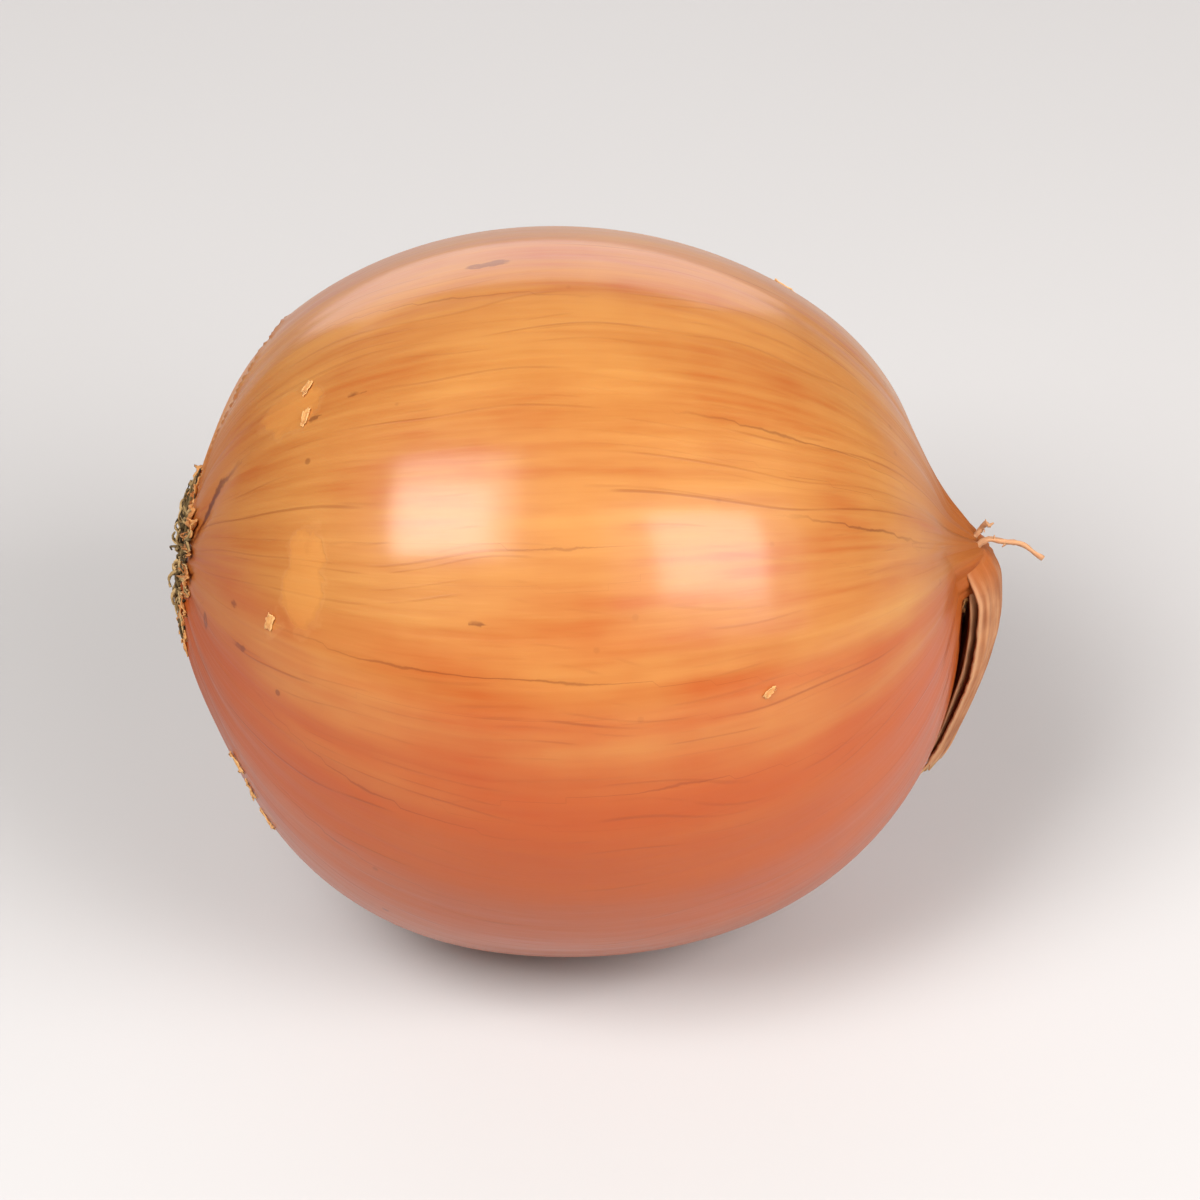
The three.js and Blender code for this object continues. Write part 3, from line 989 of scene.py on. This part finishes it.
@dataclass(frozen=True)
class DryLeafFinish:
    """Withered papery leaf: dull tan, ribbed lengthwise, paler at its torn rim, painted in shade
    within.
    """

    name: str = "withered_leaf"
    brown: str = "#855031"
    tan: str = "#9E6946"
    pale: str = "#B4845F"
    rim: str = "#C89C77"
    tip: str = "#A89A4E"
    # Painted shade of the bundle, which lies in the dark gap under the folded leaves
    skin: str = "#A05826"
    inside: str = "#93361A"
    rib_spacing: float = 0.8
    roughness: float = 0.6

    def build(self) -> bpy.types.Material:
        """Makes the material.

        Returns:
            The material.
        """
        g = Graph(self.name)
        # "sheet" is the place across and along, and 1 at the leaf's rim or -1 deep inside, in
        # painted shade.
        sheet = g.add("Attribute", output="Vector", attribute_name="sheet")
        _, along, rim = g.add("SeparateXYZ", (sheet,)).node.outputs
        solid = g.add("TexCoord", output="Object")
        ribs_at = g.add("Mapping", {"Vector": sheet, "Scale": (6 / self.rib_spacing, 1.6, 0.0)})
        ribs = g.add("TexNoise", {"Vector": ribs_at, "Scale": 1.0, "Detail": 3.0})
        cloudy = g.add("TexNoise", {"Vector": solid, "Scale": 1 / (3 * MM), "Detail": 4.0})
        fibre = g.add("TexNoise", {"Vector": solid, "Scale": 1 / (0.5 * MM), "Detail": 2.0})
        tone = g.add("Math", (cloudy, 0.4), operation="MULTIPLY")
        tone = g.add("Math", (ribs, 0.6, tone), operation="MULTIPLY_ADD")
        base = g.add("ValToRGB", (tone,), stops=(
            (0.38, self.brown), (0.5, self.tan), (0.64, self.pale)))
        at_foot = g.add("MapRange", (along, 0.36, 0.16), **SMOOTH)
        at_tip = g.add("MapRange", (along, 0.9, 1.0), **SMOOTH)
        within = g.add("Math", (rim, -1.0), operation="MULTIPLY")
        for colour, where, most in (
            (self.skin, at_foot, 0.9), (self.rim, rim, 0.7), (self.tip, at_tip, 0.75),
            (self.inside, within, 0.92),
        ):
            base = g.tint(base, colour, where, most)
        raised = g.add("Math", (fibre, 0.3, ribs), operation="MULTIPLY_ADD")
        normal = g.add("Bump", {"Height": raised, "Strength": 0.6, "Distance": 0.2 * MM})
        rough = g.add("MapRange", {"Value": tone, "To Min": self.roughness - 0.12,
                                   "To Max": self.roughness + 0.14})
        surface = g.add("BsdfPrincipled", {
            "Base Color": base, "Roughness": rough, "Normal": normal, "IOR": 1.45,
            "Specular IOR Level": 0.2, "Subsurface Weight": 0.15,
            "Subsurface Radius": (1.0, 0.5, 0.3), "Subsurface Scale": 1 * MM,
        })
        g.add("OutputMaterial", {"Surface": surface})
        return g.material


@dataclass(frozen=True)
class DriedRootFinish:
    """Dried fibrous root with soil in it: dull olive brown, each root a shade of its own."""

    dark: str = "#33260F"
    olive: str = "#6B5630"
    straw: str = "#BFA06E"

    def build(self) -> bpy.types.Material:
        """Makes the material.

        Returns:
            The material.
        """
        g = Graph("dried_root")
        sheet = g.add("Attribute", output="Vector", attribute_name="sheet")
        shade = g.add("SeparateXYZ", (sheet,))
        solid = g.add("TexCoord", output="Object")
        crumbs = g.add("TexNoise", {"Vector": solid, "Scale": 1 / (0.7 * MM), "Detail": 4.0})
        tone = g.add("Math", (shade, 0.5), operation="MULTIPLY")
        tone = g.add("Math", (crumbs, 0.6, tone), operation="MULTIPLY_ADD")
        base = g.add("ValToRGB", (tone,), stops=(
            (0.3, self.dark), (0.55, self.olive), (0.8, self.straw)))
        normal = g.add("Bump", {"Height": crumbs, "Strength": 0.8, "Distance": 0.2 * MM})
        surface = g.add("BsdfPrincipled", {"Base Color": base, "Roughness": 0.88, "Normal": normal})
        g.add("OutputMaterial", {"Surface": surface})
        return g.material


# ---- The bulb's skin ----


@dataclass
class BulbSkin:
    """The bulb in its outermost dry skin, closed over both ends."""

    form: BulbShape
    around: int = 336
    rings: int = 260
    mark_reach: float = 2.5
    torn_shadow: float = 0.6
    torn_shadow_spread: float = 0.7
    crowding: float = 0.17

    def place(self, ball: Vector) -> tuple[Vector, Marks]:
        """Moves a place on a unit ball to the skin.

        Args:
            ball: place on the ball, whose poles are on Z.

        Returns:
            The place on the skin, and its grain and marks.
        """
        even = math.acos(clamp(-ball.z, -1.0, 1.0))
        polar = even - self.crowding * math.sin(2 * even)
        turn = math.atan2(ball.y, ball.x)
        direction = self.form.direction(polar, turn)
        depth, nearest, ink = self.form.creases(direction)
        height = self.form.height(polar, turn) + self.form.relief(polar, turn) - depth
        point = self.form.point(direction, height)
        point.z = max(point.z, 0.0)
        # A dark line is painted along the torn edge as the shadow of the film's step, darkest round
        # torn_turn.
        torn = (self.form.torn_edge(turn) - polar) * self.form.width / 2
        if abs(torn) < abs(nearest):
            from_middle = turn_between(turn, self.form.torn_turn)
            nearest, ink = torn, self.torn_shadow * bump(from_middle, self.torn_shadow_spread)
        bare = max(torn, self.form.within(direction, self.form.flaked))
        bare, nearest = (clamp(mm, -self.mark_reach, self.mark_reach) for mm in (bare, nearest))
        grain = (math.cos(turn), math.sin(turn), polar)
        return point, {"grain": grain, "marks": (bare, nearest, ink)}

    def build(self, material: bpy.types.Material) -> bpy.types.Object:
        """Makes the piece.

        Args:
            material: the skin's finish.

        Returns:
            The piece.
        """
        bm = marked_mesh("grain", "marks")
        bmesh.ops.create_uvsphere(bm, u_segments=self.around, v_segments=self.rings, radius=1)
        shape(bm, self.place)
        return finish_piece("bulb_skin", bm, material, "bulb")


@dataclass(frozen=True)
class Scrap:
    """A scrap of an older skin that still clings: place in degrees, size in millimetres."""

    polar: float
    turn: float
    length: float
    width: float
    lift: float
    heading: float = 0.0
    pale: float = 1.0


@dataclass
class SkinScraps:
    """Pale scraps of older skin on the bulb and a torn frill round the root plate."""

    form: BulbShape
    seed: int = 21
    thickness: float = 0.12
    frill: int = 30
    frill_polar: float = 10.6
    scraps: tuple[Scrap, ...] = (
        Scrap(51.5, 77, 1.7, 0.8, 0.25, 60),
        Scrap(51, 69.5, 1.9, 0.8, 0.25, 75),
        Scrap(42, 23.5, 1.7, 0.9, 0.3, 75),
        Scrap(118, 15.6, 1.4, 0.6, 0.25, 30),
        Scrap(33, -36, 2.4, 0.7, 0.5, 10),
        Scrap(36, -44, 2.1, 0.6, 0.45, -25),
        Scrap(40, -51, 2.4, 0.7, 0.5, 30),
        Scrap(172.5, -22, 1.2, 0.5, 0.5, 80, 0.5),
        Scrap(171, -38, 1.5, 0.6, 0.5, 60, 0.4),
        Scrap(62, 150, 4.4, 2.6, 0.4, 15),
        Scrap(96, -160, 3.2, 1.8, 0.35, -40),
        Scrap(128, 128, 3.0, 1.6, 0.3, 25),
        Scrap(138, -140, 3.8, 2.0, 0.4, 5),
        Scrap(75, -128, 2.6, 1.4, 0.35, 60),
    )

    def add(self, bm: bmesh.types.BMesh, scrap: Scrap, phase: float) -> None:
        """Adds one scrap.

        Args:
            bm: the mesh to add to.
            scrap: what to add.
            phase: sets its ragged outline.
        """
        spot = self.form.spot(math.radians(scrap.polar), math.radians(scrap.turn))
        c, s = math.cos(math.radians(scrap.heading)), math.sin(math.radians(scrap.heading))

        def rule(co: Vector) -> tuple[Vector, Marks]:
            """Lays the slab on the skin, with a ragged rim that curls up.

            Args:
                co: place on the slab.

            Returns:
                The place on the scrap and its marks.
            """
            x, y = co.x, 2 * co.y - 1
            corner = max(abs(x), abs(y))
            round_off = corner / (math.hypot(x, y) or 1.0)
            ragged = 1 + 0.55 * ripple(2.2 * x, 2.2 * y, phase)
            reach = (0.45 + 0.55 * round_off) * ragged
            a, b = y * reach * scrap.length / 2, x * reach * scrap.width / 2
            curl = scrap.lift * max(0.0, ripple(1.3 * x, 1.3 * y, phase + 9) + 0.3)
            height = 0.03 + curl * corner**3 + self.thickness * co.z
            along, across = a * c - b * s, a * s + b * c
            place = self.form.beside(spot, along, across, -99.0, clear=height)
            fresh = 0.1 + 0.3 * scrap.pale
            rim = scrap.pale * (0.35 + 0.65 * corner**4)
            return place, {"sheet": (0.5 * x + phase, fresh + 0.3 * y, rim)}

        add_slab(bm, 12, 14)
        shape(bm, rule)

    def build(self, material: bpy.types.Material) -> bpy.types.Object:
        """Makes the piece.

        Args:
            material: the dry leaf's finish.

        Returns:
            The piece.
        """
        draw = random.Random(self.seed)
        bm = marked_mesh("sheet")
        for scrap in self.scraps:
            self.add(bm, scrap, draw.uniform(0, 50))
        for i in range(self.frill):
            turn = 360 * (i + draw.uniform(-0.4, 0.4)) / self.frill
            length = draw.uniform(1.6, 4.2)
            scrap = Scrap(self.frill_polar + length * 0.45, turn, length, draw.uniform(0.8, 1.7),
                          draw.uniform(0.3, 0.9), draw.uniform(-25, 25), draw.uniform(0, 0.5))
            self.add(bm, scrap, draw.uniform(0, 50))
        return finish_piece("skin_scraps", bm, material)


# ---- The dry neck ----


@dataclass(frozen=True)
class Ply:
    """One dry leaf of the neck, folded over the shoulder.

    "Course" is its middle line: along, height there, height at the front edge, height at the back
    edge and half width. "Fold" turns it from the neck's own fold, "clear" keeps it off the skin
    and the leaves below, and "phase" sets where its ribs and tears fall.
    """

    fold: float
    course: tuple[tuple[float, float, float, float, float], ...]
    thickness: float
    ragged: float
    ribs: float
    clear: float
    phase: float


@dataclass
class DryNeck:
    """The withered neck: a gathered bundle of leaf bases with torn leaves folded over it.

    "Grown", "buried" and "tucked" are the shares of a leaf's length over which its ribs grow, it
    comes out of the skin and its edges come clear of it. The sinkings and "burial" are the
    millimetres that it starts lower by.
    """

    form: BulbShape
    seed: int = 5
    outer: tuple[Pair, ...] = (
        (-1, -1.8), (-0.8, -0.9), (0.2, 0.2), (1.8, 1.3), (4.2, 2.6), (7, 3.1), (11, 2.6),
        (15, 1.9), (19, 1.6), (24, 1.0))
    inner: tuple[Pair, ...] = (
        (3.7, -1.8), (3.7, 0.2), (3.75, 0.7), (4.4, 0.6), (7, 0.3), (10, 0), (14, -0.1),
        (18, -0.2), (23.5, -0.2))
    half_widths: tuple[float, ...] = (3.4, 3.4, 3.5, 3.8, 4.3, 4.7, 4.9, 4.9, 4.6)
    plies: tuple[Ply, ...] = (
        Ply(0, (
            (-3.4, 0.2, -1, -1, 3.2), (-0.8, 2.5, 0.3, 0.2, 4.6), (1.4, 3.6, 1.3, 0.4, 5.4),
            (3.7, 4.1, 1.9, 0.4, 5.8), (7, 4.05, 1.75, 0.3, 6.2), (10, 3.6, 1.5, 0.3, 6.5),
            (13.5, 3.05, 1.25, 0.3, 6.7), (18, 2.75, 1.0, 0.3, 6.4), (22, 2.6, 0.7, 0.4, 5.8),
            (26, 2.2, 0.3, 0.4, 4.9)), 0.3, 0.34, 0.09, 0.14, 0.43),
        Ply(math.radians(3), (
            (-1, 1.6, 0.4, 0.2, 3.4), (1, 2.7, 0.8, 0.2, 4), (3.8, 3.5, 0.9, 0.2, 4.6),
            (7, 3.4, 0.9, 0.2, 5), (10, 3.0, 0.8, 0.2, 5.2), (14, 2.4, 0.6, 0.2, 5.2),
            (19, 1.9, 0.5, 0.2, 4.6), (23, 1.4, 0.4, 0.2, 3.9)), 0.25, 0.4, 0.12, 0.1, 2.2),
        Ply(math.radians(-34), (
            (-0.4, 1.2, 0.2, 0, 2), (1, 2.2, 0.3, 0, 3), (2.6, 2.9, 0.3, 0, 4),
            (4.6, 3.3, 0.2, 0, 4.8), (8, 2.8, 0.2, 0, 5.4), (13, 1.9, 0.2, 0, 5.6),
            (19, 1.2, 0.3, 0.3, 5)), 0.28, 0.4, 0.2, 0.2, 8),
    )
    grown: Pair = (0.05, 0.35)
    buried: Pair = (0.04, 0.17)
    tucked: Pair = (0.24, 0.36)
    burial: float = 2.0
    sinking: float = 0.8
    edge_sinking: float = 0.6
    bundle_tear: float = 0.16
    fibres: int = 12
    barbs: int = 6
    wisps: tuple[tuple[tuple[float, float, float], ...], ...] = (
        ((-0.6, -1.4, 1.8), (-1.3, -1.6, 3.2), (-0.9, -1.8, 5), (-0.5, -2, 6.6), (1, -2.2, 8.6)),
        ((-1.2, -0.4, 1.8), (-2.0, -0.3, 2.8), (-2.5, -0.6, 3.3), (-2.4, -1.1, 3.7)),
    )

    def tear(self, x: float, phase: float) -> float:
        """Returns how much of a leaf's length is torn off at a place across it.

        Args:
            x: the place, from -1 to 1.
            phase: sets where the tears fall.

        Returns:
            The share, 0 where nothing is torn off.
        """
        slant = 0.3 + 0.3 * x
        split = 0.45 * (1 - abs(math.sin(3.1 * x + phase + 1.8))) ** 3
        fray = 0.2 * ripple(7 * x, phase, 1) + 0.12 * ripple(23 * x, phase, 2)
        return max(0.0, slant + split + fray)

    def add_ply(self, bm: bmesh.types.BMesh, ply: Ply) -> None:
        """Adds one folded leaf.

        Args:
            bm: the mesh to add to.
            ply: the leaf.
        """
        spot = self.form.spot(math.pi, 0, self.form.neck_fold + ply.fold)

        def rule(co: Vector) -> tuple[Vector, Marks]:
            """Lays the sheet over the shoulder, arched across and ribbed along.

            Args:
                co: place on the flat sheet.

            Returns:
                The place on the leaf and its marks.
            """
            x, y = co.x, 0.5 + co.y / 2
            share = y * (1 - ply.ragged * self.tear(x, ply.phase))
            along, crest, front, back, half = along_curve(ply.course, share)
            edge = front if x < 0 else back
            grown = ease(share, *self.grown)
            ribs = math.sin(13 * x + ply.phase) + 0.5 * math.sin(31 * x + 2 * ply.phase)
            crumple = 0.4 * ripple(1.6 * x, 5 * y, ply.phase)
            fray = 1 + (0.03 * ripple(3 * x, 9 * y, ply.phase)
                        + 0.03 * ripple(x, 31 * y, ply.phase)) * grown
            height = crest + (edge - crest) * abs(x) ** 2.3 + (ply.ribs * ribs + crumple) * grown
            buried = 1 - ease(share, *self.buried)
            height -= self.burial * buried
            tucked = abs(x) ** 5 * (1 - ease(share, *self.tucked))
            clear = ply.clear - (self.sinking * buried + self.edge_sinking * tucked)
            place = self.form.beside(spot, along, x * fray * half, height, clear)
            rim = max(bump(1 - abs(x), 0.05), bump(1 - y, 0.03)) * grown
            return place, {"sheet": (x, share, rim)}

        bmesh.ops.create_grid(bm, x_segments=60, y_segments=84, size=1)
        fresh = unplaced(bm)
        faces = list({f for v in fresh for f in v.link_faces})
        shape(bm, rule)
        thicken(bm, faces, ply.thickness)

    def add_bundle(self, bm: bmesh.types.BMesh) -> None:
        """Adds the gathered leaf bases, which fold over and end above the leaves' tips.

        Args:
            bm: the mesh to add to.
        """
        spot = self.form.neck_spot
        widths = [(w, 0.0) for w in self.half_widths]

        def rule(co: Vector) -> tuple[Vector, Marks]:
            """Bends the rod over the shoulder, flattened and pleated.

            Args:
                co: place on the rod.

            Returns:
                The place on the bundle and its marks.
            """
            around = math.atan2(co.y, co.x)
            reach = math.hypot(co.x, co.y)
            pleated = 1 + 0.05 * math.sin(15 * around) + 0.03 * math.sin(26 * around + 1)
            share = co.z * (1 - self.bundle_tear * self.tear(math.cos(around), 3))
            outer, inner = along_curve(self.outer, share), along_curve(self.inner, share)
            at = inner.lerp(outer, 0.5 + 0.5 * reach * pleated * math.sin(around))
            across = reach * pleated * math.cos(around) * along_curve(widths, share)[0]
            place = self.form.beside(spot, at[0], across, at[1])
            # -0.85 gives the bundle the leaf's painted shade, for the dark gap it lies in.
            return place, {"sheet": (around / 2, 0.8 * share, -0.85)}

        add_rod(bm, 72, 40)
        shape(bm, rule)

    def add_fibres(self, bm: bmesh.types.BMesh) -> None:
        """Adds torn fibres at the leaves' ends and the wisps that stand off the neck.

        Args:
            bm: the mesh to add to.
        """
        draw = random.Random(self.seed)
        spot = self.form.neck_spot
        for _ in range(self.fibres):
            across, along = draw.uniform(-6.0, 1.0), draw.uniform(19, 22.5)
            lean, rise = draw.uniform(-0.6, 0.6), draw.uniform(0.1, 0.6)
            run = draw.uniform(1.5, 3.5)
            path = [
                self.form.beside(
                    spot, along + run * t, across + lean * t * t, 0.9 + rise * t * t, 0.2
                )
                for t in (0, 0.33, 0.66, 1)
            ]
            strand(bm, path, (0.11, 0.04), draw.uniform(-1, 1), 5, 6, 1.6,
                   rim=draw.uniform(0, 0.8))
        for i, wisp in enumerate(self.wisps):
            path = [self.form.beside(spot, *p) for p in wisp]
            radius = 0.34 - 0.12 * i
            strand(bm, path, (radius, 0.6 * radius), 0.4, 8, 22, 1.5, rim=1.0, knots=0.5)
            for _ in range(self.barbs):
                root = along_curve([tuple(p) for p in path], draw.uniform(0.3, 0.98))
                barb = Vector([draw.uniform(-0.5, 0.5) for _ in range(3)])
                strand(bm, [root, root + 0.5 * barb, root + barb + barb.orthogonal() * 0.3],
                       (0.14, 0.04), 0.5, 5, 5, 1.8, rim=0.9)

    def build(self, material: bpy.types.Material) -> bpy.types.Object:
        """Makes the piece.

        Args:
            material: the dry leaf's finish.

        Returns:
            The piece.
        """
        bm = marked_mesh("sheet")
        self.add_bundle(bm)
        for ply in self.plies:
            self.add_ply(bm, ply)
        self.add_fibres(bm)
        return finish_piece("dry_neck", bm, material, "neck")


# ---- The root end ----


@dataclass
class RootTuft:
    """The root plate with its trimmed roots, dried and matted."""

    form: BulbShape
    seed: int = 7
    count: int = 260
    plate_radius: float = 6.3
    plate_top: float = -0.7
    radii: Pair = (0.13, 0.32)
    lengths: Pair = (1.3, 3.8)

    def add_plate(self, bm: bmesh.types.BMesh, spot: Spot) -> None:
        """Adds the scabby low dome that the roots grow from.

        Args:
            bm: the mesh to add to.
            spot: the frame of the root end.
        """

        def rule(co: Vector) -> tuple[Vector, Marks]:
            """Flattens the ball to a rough dome set in the skin.

            Args:
                co: place on the ball.

            Returns:
                The place on the dome and its marks.
            """
            x, y = co.x * self.plate_radius, co.y * self.plate_radius
            rough = 0.3 * ripple(1.1 * x, 1.1 * y, 3) + 0.16 * ripple(3 * x, 3 * y, 5)
            height = self.plate_top - 1.1 + (1.1 + rough if co.z > 0 else 1.6) * co.z
            return self.form.beside(spot, x, y, height), {"sheet": (0.1, 0.5, 0.0)}

        bmesh.ops.create_uvsphere(bm, u_segments=64, v_segments=40, radius=1)
        shape(bm, rule)

    def add_root(self, bm: bmesh.types.BMesh, spot: Spot, i: int, draw: random.Random) -> None:
        """Adds one root that rises from the plate and bends outwards.

        Args:
            bm: the mesh to add to.
            spot: the frame of the root end.
            i: its number.
            draw: the source of random numbers.
        """
        share = math.sqrt((i + 0.5) / self.count)
        around = i * GOLDEN_ANGLE + draw.uniform(-0.3, 0.3)
        heading = around + draw.uniform(-1.2, 1.2) * (1.4 - share)
        bend = heading + draw.uniform(-0.9, 0.9)
        length = draw.uniform(*self.lengths)
        splay = (0.35 + 0.8 * share) * length
        foot = (self.plate_radius - 0.4) * share
        base = self.plate_top - 0.7 * share * share
        x, y = foot * math.cos(around), foot * math.sin(around)
        rise = draw.uniform(0.28, 0.46) * length
        # Each station: its reach along the heading and along the bend, and its height.
        stations = (
            (0.0, 0.0, base - 0.6), (0.0, 0.0, base + 0.1), (0.3, 0.0, base + 0.8 * rise),
            (0.6, 0.0, base + rise), (0.6, 0.35, base + 0.9 * rise),
        )
        path = []
        for ahead, aside, height in stations:
            a = x + ahead * splay * math.cos(heading) + aside * splay * math.cos(bend)
            b = y + ahead * splay * math.sin(heading) + aside * splay * math.sin(bend)
            clear = 0.25 if math.hypot(a, b) > self.plate_radius else None
            path.append(self.form.beside(spot, a, b, height, clear))
        radius = draw.uniform(*self.radii)
        strand(bm, path, (radius, 0.45 * radius), draw.random(), 6, 8)

    def build(self, material: bpy.types.Material) -> bpy.types.Object:
        """Makes the piece.

        Args:
            material: the dried root's finish.

        Returns:
            The piece.
        """
        draw = random.Random(self.seed)
        spot = self.form.spot(0, 0, -math.pi / 2)
        bm = marked_mesh("sheet")
        self.add_plate(bm, spot)
        for i in range(self.count):
            self.add_root(bm, spot, i, draw)
        return finish_piece("root_tuft", bm, material, "roots")


# ---- Floor, lights and camera ----


@dataclass(frozen=True)
class Softbox:
    """A soft light: where it shines from, its size, its power and its roll in degrees."""

    name: str
    direction: Vector
    distance: float
    size: Pair
    power: float
    colour: str
    roll: float

    def build(self, target: Vector) -> bpy.types.Object:
        """Makes the light.

        Args:
            target: what it points at, in metres.

        Returns:
            The light.
        """
        lamp = bpy.data.lights.new(self.name, "AREA")
        lamp.shape = "RECTANGLE"
        lamp.size, lamp.size_y = self.size
        lamp.energy = self.power
        lamp.color = linear(self.colour)[:3]
        light = show(self.name, lamp)
        towards = self.direction.normalized()
        light.location = target + towards * self.distance
        rolled = Matrix.Rotation(math.radians(self.roll), 3, "Z")
        light.rotation_euler = (towards.to_track_quat("Z", "Y").to_matrix() @ rolled).to_euler()
        return light


@dataclass
class Studio:
    """A pale floor, two softboxes with brighter cores, a pale wall behind, and the camera."""

    target: Vector = field(default_factory=lambda: Vector((-0.002, 0.0, 0.0375)))
    camera_place: Vector = field(default_factory=lambda: Vector((-0.0023, -0.4479, 0.3542)))
    aim: Vector = field(default_factory=lambda: Vector((0.0008, -0.0014, 0.0372)))
    roll: float = math.radians(-3.13)
    lens: float = 158.0
    sensor: float = 36.0
    floor_colour: str = "#C0C3C7"
    floor_drop: float = 0.05
    fill_colour: str = "#F3E0C9"
    fill: float = 0.2
    lights: tuple[Softbox, ...] = (
        Softbox("softbox_left", Vector((-0.405, -0.44, 0.79)), 0.9, (0.5, 0.53), 5.0, "#FFFAF4",
                28),
        Softbox("left_core", Vector((-0.45, -0.45, 0.76)), 0.88, (0.4, 0.36), 4.4, "#FFFAF4", 28),
        Softbox("softbox_right", Vector((0.62, -0.52, 0.54)), 0.9, (0.98, 0.64), 3.4, "#FFF8F2",
                -28),
        Softbox("right_core", Vector((0.61, -0.53, 0.545)), 0.88, (0.5, 0.4), 6.6, "#FFF8F2", -28),
        Softbox("pale_wall", Vector((0, 1, 0.3)), 1.3, (1.3, 0.7), 6.6, "#FBEFF2", 0),
    )

    def add_floor(self) -> bpy.types.Object:
        """Makes the floor of matt paper: pale, without gloss and a little cloudy.

        Returns:
            The floor.
        """
        g = Graph("matt_paper_floor")
        solid = g.add("TexCoord", output="Object")
        # Clouds about 110 mm across.
        cloud = g.add("TexNoise", {"Vector": solid, "Scale": 9.0, "Detail": 2.0})
        tone = g.add("MapRange", {"Value": cloud, "To Min": 0.97, "To Max": 1.0})
        base = g.add("Mix", {0: 1.0, 6: linear(self.floor_colour), 7: tone}, 2,
                     data_type="RGBA", blend_type="MULTIPLY")
        surface = g.add("BsdfPrincipled", {"Base Color": base, "Roughness": 0.75})
        g.add("OutputMaterial", {"Surface": surface})
        bm = bmesh.new()
        bmesh.ops.create_grid(bm, x_segments=1, y_segments=1, size=2.5)
        bmesh.ops.translate(bm, verts=bm.verts, vec=(0, 0, -self.floor_drop * MM))
        floor = show_mesh("floor", bm, g.material)
        return floor

    def add_fill(self) -> None:
        """Makes the pale surroundings."""
        world = bpy.data.worlds.new("pale_room")
        world.use_nodes = True
        background = world.node_tree.nodes["Background"]
        background.inputs["Color"].default_value = linear(self.fill_colour)
        background.inputs["Strength"].default_value = self.fill
        bpy.context.scene.world = world

    def add_camera(self) -> bpy.types.Object:
        """Makes the camera, which looks down at the onion's side.

        Returns:
            The camera.
        """
        lens = bpy.data.cameras.new("camera")
        lens.lens = self.lens
        lens.sensor_width = self.sensor
        lens.clip_start = 0.01
        camera = show("camera", lens)
        back = (self.camera_place - self.aim).to_track_quat("Z", "Y").to_matrix()
        turned = back @ Matrix.Rotation(self.roll, 3, "Z")
        camera.matrix_world = Matrix.Translation(self.camera_place) @ turned.to_4x4()
        bpy.context.scene.camera = camera
        return camera

    def build(self) -> None:
        """Makes the floor, the lights and the camera."""
        bpy.context.scene.view_settings.view_transform = "Standard"
        self.add_floor()
        self.add_fill()
        for light in self.lights:
            light.build(self.target)
        self.add_camera()


def main() -> None:
    """Builds the studio, then the onion piece by piece."""
    logging.basicConfig(level=logging.INFO, format="%(name)s: %(message)s")
    Studio().build()
    form = BulbShape()
    leaf = DryLeafFinish().build()
    scrap = DryLeafFinish("clinging_scrap", brown="#B96F3A", tan="#CC8A4C", pale="#DBA268",
                          rim="#E3B67C", tip="#C98B4E").build()
    BulbSkin(form).build(OuterScaleFinish().build(form))
    SkinScraps(form).build(scrap)
    DryNeck(form).build(leaf)
    RootTuft(form).build(DriedRootFinish().build())


if __name__ == "__main__":
    main()
